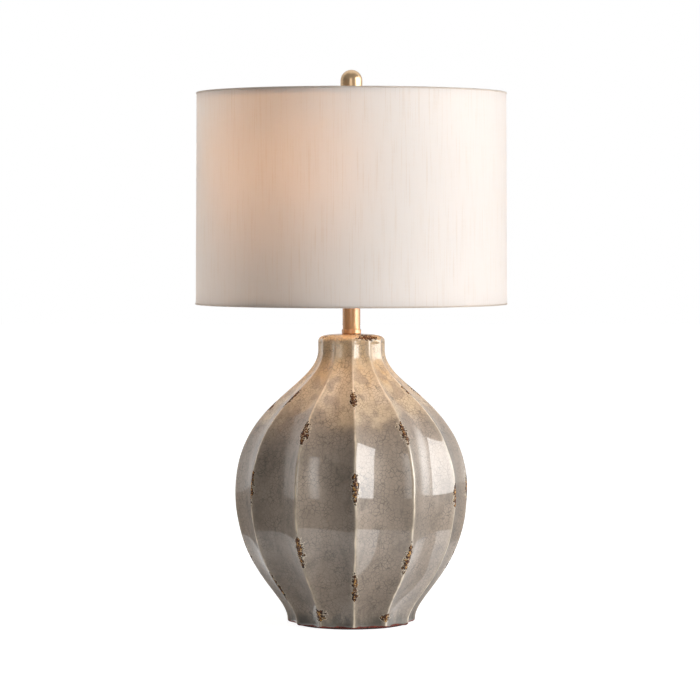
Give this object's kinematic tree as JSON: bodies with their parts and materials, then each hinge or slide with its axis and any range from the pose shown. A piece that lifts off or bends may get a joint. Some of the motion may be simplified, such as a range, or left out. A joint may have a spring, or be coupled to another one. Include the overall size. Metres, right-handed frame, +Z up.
{
  "type": "table lamp",
  "caption": "Table lamp: hollow ribbed ceramic body with a crackle glaze, brass neck tube, harp, turn-knob socket with bulb, tapered fabric drum shade and a round-topped brass finial.",
  "frame": {"origin": "centre of the foot's resting plane, under the felt ring", "axes": "+Z up along the lamp's axis; -Y is the front that the picture shows; +X to the right"},
  "size_m": [0.4064, 0.4064, 0.7211],
  "materials": {
    "glaze": "grey-taupe crackle glaze, high gloss, chipped to brown clay along the ribs",
    "felt": "pressed wool felt",
    "rubber": "moulded, matt",
    "zinc_steel": "zinc plated",
    "plain_brass": "plain turned or pressed brass",
    "satin_brass": "satin, warm, lacquered",
    "harp_metal": "brass plated steel wire",
    "socket_brass": "drawn brass, polished",
    "phenolic": "moulded phenolic, dark brown-black",
    "insulating_card": "pressed insulating card",
    "lamp_nickel": "plated, bright",
    "black_glass": "fused black insulator",
    "frosted_glass": "frosted white inside, lit warm",
    "painted_wire": "off-white painted steel wire",
    "liner_plastic": "white styrene backing sheet, satin",
    "linen": "off-white slub linen weave"
  },
  "bodies": {
    "lamp": {"ceramic_body": "glaze", "felt_ring": "felt", "cord_grommet": "rubber", "base_seat": "rubber", "neck_seat": "rubber", "base_washer": "zinc_steel", "base_lock_washer": "zinc_steel", "base_nut": "plain_brass", "lamp_pipe": "plain_brass", "neck_collar": "satin_brass", "neck_tube": "satin_brass", "tube_cap": "satin_brass", "harp_saddle": "harp_metal", "harp": "harp_metal", "harp_stud": "harp_metal", "saddle_nut": "plain_brass", "socket_cap": "socket_brass", "socket_shell": "socket_brass", "cap_set_screw": "zinc_steel", "socket_block": "phenolic", "terminal_screws": "plain_brass", "socket_sleeve": "insulating_card", "socket_screw_shell": "plain_brass", "socket_contact": "plain_brass"},
    "shade": {"shade_fitter": "painted_wire", "shade_bottom_ring": "painted_wire", "shade_liner": "liner_plastic", "shade_fabric": "linen", "shade_top_hem": "linen", "shade_bottom_hem": "linen"},
    "finial": {"finial_ferrule": "satin_brass", "finial_knob": "satin_brass"},
    "bulb": {"bulb_base": "lamp_nickel", "bulb_insulator": "black_glass", "bulb_contact": "lamp_nickel", "bulb_glass": "frosted_glass"},
    "switch": {"switch_shaft": "plain_brass", "switch_knob": "phenolic"},
    "sleeve_left": {"harp_sleeve_left": "satin_brass"},
    "sleeve_right": {"harp_sleeve_right": "satin_brass"}
  },
  "joints": [
    {"name": "shade_swivel", "type": "hinge", "parent": "lamp", "child": "shade", "pos_m": [0, 0, 0.677], "axis": [0, 0, 1], "continuous": true},
    {"name": "finial_turn", "type": "hinge", "parent": "lamp", "child": "finial", "pos_m": [0, 0, 0.6793], "axis": [0, 0, 1], "range_deg": [0, 3240]},
    {"name": "bulb_turn", "type": "hinge", "parent": "lamp", "child": "bulb", "pos_m": [0, 0, 0.5239], "axis": [0, 0, 1], "range_deg": [0, 1440]},
    {"name": "knob_turn", "type": "hinge", "parent": "lamp", "child": "switch", "pos_m": [0, 0, 0.516], "axis": [0, -1, 0], "continuous": true},
    {"name": "sleeve_left_slide", "type": "slide", "parent": "lamp", "child": "sleeve_left", "axis": [0, 0, 1], "range_m": [0, 0.012]},
    {"name": "sleeve_right_slide", "type": "slide", "parent": "lamp", "child": "sleeve_right", "axis": [0, 0, 1], "range_m": [0, 0.012]}
  ]
}
